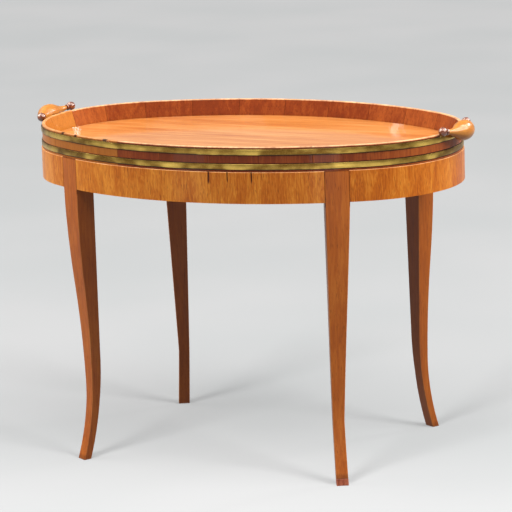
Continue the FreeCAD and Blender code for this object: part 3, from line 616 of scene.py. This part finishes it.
# -------------------------------------------------------------- Tray staves
# The wall of the tray is coopered: short upright staves of mahogany, bevelled
# to each other, each from a board of its own tone. Most are red, and a few at
# the left end are golden, partly in their own tone and partly as painted light.
STAVE_EASE = 0.0004
STAVE_COUNT = 24
STAVE_DRAW = 11
STAVE_TONES = (0.25, 0.65)
# Staves grow paler towards both ends, whose walls face the lamps: partly own tone, partly painted light.
END_PALENESS_AND_LIGHT = 0.6
TRAY_HALF_LENGTH = 0.3325
# The golden staves at the left end are partly golden wood and partly painted light of the lit end wall.
GOLDEN_AND_LIT_STAVES = (15, 16, 17, 18, 19)
GOLDEN_AND_LIT_SHADES = (shade(140, 76, 24), shade(176, 106, 38), shade(198, 128, 54))
OWN_TONES = {4: 0.5, 5: 0.9, 6: 1.05, 7: 0.85, 15: 0.6, 16: 0.4, 17: 0.1, 18: 0.0, 19: -0.1}
# Bands of painted shade on the staves' outer faces, just above and below each hoop.
HOOP_SHADE_BANDS = ((0.06, 0.11), (0.31, 0.36), (0.645, 0.695), (0.895, 0.93))
RIM_CHIPS = (
    ((-0.2312, -0.1592, 0.4995), 0.005),
    ((-0.2007, -0.1762, 0.4995), 0.005),
    ((-0.1381, -0.2008, 0.4995), 0.007),
)
STAVE_POLISH = {"gloss": 0.45, "sheen": 0.06, "polish": 0.28, "polish_gloss": 0.08}
# The pale band along the rim is wear and a painted highlight of the lit top edge.
STAVE_GRAIN = {
    "band": 0.03, "streak": 0.006, "contrast": 0.3, "own_tone": 0.3,
    "wear_and_highlight": shade(248, 196, 146), "wear_and_highlight_from": 0.955, "joint_from": 0.0, "joint_share": 0.45,
    "dark_bands": HOOP_SHADE_BANDS, "chips": RIM_CHIPS,
}

stave_wood = wood_finish(
    "stave_mahogany", shade(84, 32, 12), shade(123, 52, 19), shade(180, 96, 38), along=2,
    wear_and_highlight_share=0.8, **STAVE_POLISH, **STAVE_GRAIN,
)
golden_and_lit_stave_wood = wood_finish(
    "golden_and_lit_stave_mahogany", *GOLDEN_AND_LIT_SHADES, along=2,
    wear_and_highlight_share=0.35, chip_share=0.2, **STAVE_POLISH, **STAVE_GRAIN,
)
stave_draw = random.Random(STAVE_DRAW)
for number in range(1, STAVE_COUNT + 1):
    node = f"tray_stave_{number:02d}"
    low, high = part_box(node)
    end_share = abs(low.x + high.x) / 2 / TRAY_HALF_LENGTH
    tone = stave_draw.uniform(*STAVE_TONES) + END_PALENESS_AND_LIGHT * end_share**2
    tone = OWN_TONES.get(number, tone)
    wood = golden_and_lit_stave_wood if number in GOLDEN_AND_LIT_STAVES else stave_wood
    stave = eased_copy(node, f"stave_{number:02d}", STAVE_EASE, "tray", wood, tone)
    mark_inner_faces(stave, node)

# ------------------------------------------------------------- Screw plugs
# Short plugs of golden mahogany, glued over the heads of the handle screws
# and pared flush with the inside of the end staves.
# The plugs take the golden staves' shades, which are partly painted light.
plug_wood = wood_finish(
    "plug_mahogany", *GOLDEN_AND_LIT_SHADES, along=2, band=0.01, streak=0.003, contrast=0.4, **STAVE_POLISH,
)
dress("handle_screw_plugs", plug_wood)

# -------------------------------------------------------------- Brass hoops
# Two hoops of rolled brass strip, brazed into a ring and driven over the
# staves. Handling has polished them in patches; the rest has gone olive, and
# dark along the lower edge.
HOOP_EASE = 0.0003
HOOP_DOME = 0.00045
HOOP_DOME_CUTS = 5
HOOP_FACE_REACH = (0.8, 1.05)
BRASS_PATCHES = (22, 22, 40)
BRASS_SPECKS = (420, 420, 700)
BRASS_WAVES = (60, 60, 110)
BRASS_WAVE_DEPTH = 0.0006
BRASS_SPECK_DEPTH = 0.05
SHINE_BY_PATCH = 0.85
SHINE_BY_SPECK = 0.15
RUB_AND_HIGHLIGHT_LEAST = 0.35
RUB_AND_HIGHLIGHT_BY_PATCH = 0.5
TARNISH_COVER = 0.6
TARNISH_DULLING = 0.5
TARNISH_ROUGHNESS = 0.2
BRASS_ROUGHNESS = 0.42
SHINE_SMOOTHNESS = 0.15


def dome_face(hoop):
    """Crowns the outer face of a hoop, as rolled half-round strip is."""
    shape = bmesh.new()
    shape.from_mesh(hoop.data)
    low = min(v.co.z for v in shape.verts)
    high = max(v.co.z for v in shape.verts)
    least, most = (share * (high - low) for share in HOOP_FACE_REACH)
    tall = [
        e for e in shape.edges if abs(e.verts[0].co.z - e.verts[1].co.z) > least and e.calc_length() < most
    ]
    bmesh.ops.subdivide_edges(shape, edges=tall, cuts=HOOP_DOME_CUTS, use_grid_fill=True)
    shape.normal_update()
    rise = shape.verts.layers.float["height"]
    for vert in shape.verts:
        share = (vert.co.z - low) / (high - low)
        vert[rise] = share
        outward = vert.normal.xy.normalized()
        if outward.dot(vert.co.xy) > 0:
            vert.co.xy += outward * HOOP_DOME * (1 - (2 * share - 1) ** 2)
    shape.to_mesh(hoop.data)
    shape.free()


brass = Finish("aged_hoop_brass")
brass_point = brass.node("ShaderNodeTexCoord", output="Object")
brass_rise = brass.own("height")
brass_arris = brass.own("arris")
brass_patch = brass.noise(brass.scaled(brass_point, BRASS_PATCHES), detail=2.0, rough=0.5)
brass_patch = brass.spread(brass_patch, low=0.38, high=0.66)
brass_speck = brass.noise(brass.scaled(brass_point, BRASS_SPECKS), detail=2.0)
brass_speck = brass.spread(brass_speck, low=0.42, high=0.7)
brass_wave = brass.noise(brass.scaled(brass_point, BRASS_WAVES), detail=1.0)
tarnish = brass.spread(brass_rise, low=0.16, high=0.06) * brass.spread(brass_patch, low=0.7, high=0.2)
brass_shine = SHINE_BY_PATCH * brass_patch + SHINE_BY_SPECK * brass_speck
brass_colour = brass.mix(brass_shine, shade(128, 94, 40), shade(232, 194, 98))
# The hoops' arrises turn pale cream: wear and a painted highlight of the rounded edges.
brass_rub_and_highlight = brass_arris * (RUB_AND_HIGHLIGHT_LEAST + RUB_AND_HIGHLIGHT_BY_PATCH * brass_patch)
brass_colour = brass.mix(brass_rub_and_highlight, brass_colour, shade(252, 230, 172))
brass_colour = brass.mix(tarnish * TARNISH_COVER, brass_colour, shade(70, 50, 26))
brass.surface(
    Base_Color=brass_colour,
    Metallic=1.0 - TARNISH_DULLING * tarnish,
    Roughness=BRASS_ROUGHNESS - SHINE_SMOOTHNESS * brass_shine + TARNISH_ROUGHNESS * tarnish,
    Normal=brass.bump(brass_wave + BRASS_SPECK_DEPTH * brass_speck, BRASS_WAVE_DEPTH, strength=0.5),
)
for name in ("upper", "lower"):
    node = f"{name}_brass_hoop"
    hoop = eased_copy(node, f"{name}_hoop", HOOP_EASE, "tray", brass.material)
    dome_face(hoop)

# ------------------------------------------------------------------ Handles
# A bowed grip at each end of the tray, carved from golden mahogany with a fat
# belly, screwed through the wall from inside and polished by use.
ENDS = ("left", "right")

handle_wood = wood_finish(
    "handle_mahogany", shade(150, 79, 21), shade(178, 110, 36), shade(196, 134, 58), along=1,
    gloss=0.3, polish=0.3, polish_gloss=0.16,
    band=0.02, streak=0.004, contrast=0.45, pores=0.15, relief=0.00004,
)
for end in ENDS:
    grip = eased_copy(f"{end}_handle", f"{end}_grip", 0, "tray", handle_wood)
    ends_only.objects.link(grip)

# ------------------------------------------------------------------ Finials
# A turned ball with a collar on both tips of each handle, held by a tenon,
# stained dark brown and glossy.
finial_wood = wood_finish(
    "finial_stain", shade(50, 17, 6), shade(112, 50, 20), shade(154, 82, 38), along=1,
    gloss=0.22, polish=1.0, polish_gloss=0.2, polish_ior=1.6,
    band=0.01, streak=0.003, contrast=0.5, pores=0.0, relief=0.0,
)
for end in ENDS:
    for tip in ("front", "back"):
        node = f"{end}_handle_{tip}_finial"
        ball = eased_copy(node, f"{end}_{tip}_ball", 0, "tray", finial_wood)
        ends_only.objects.link(ball)
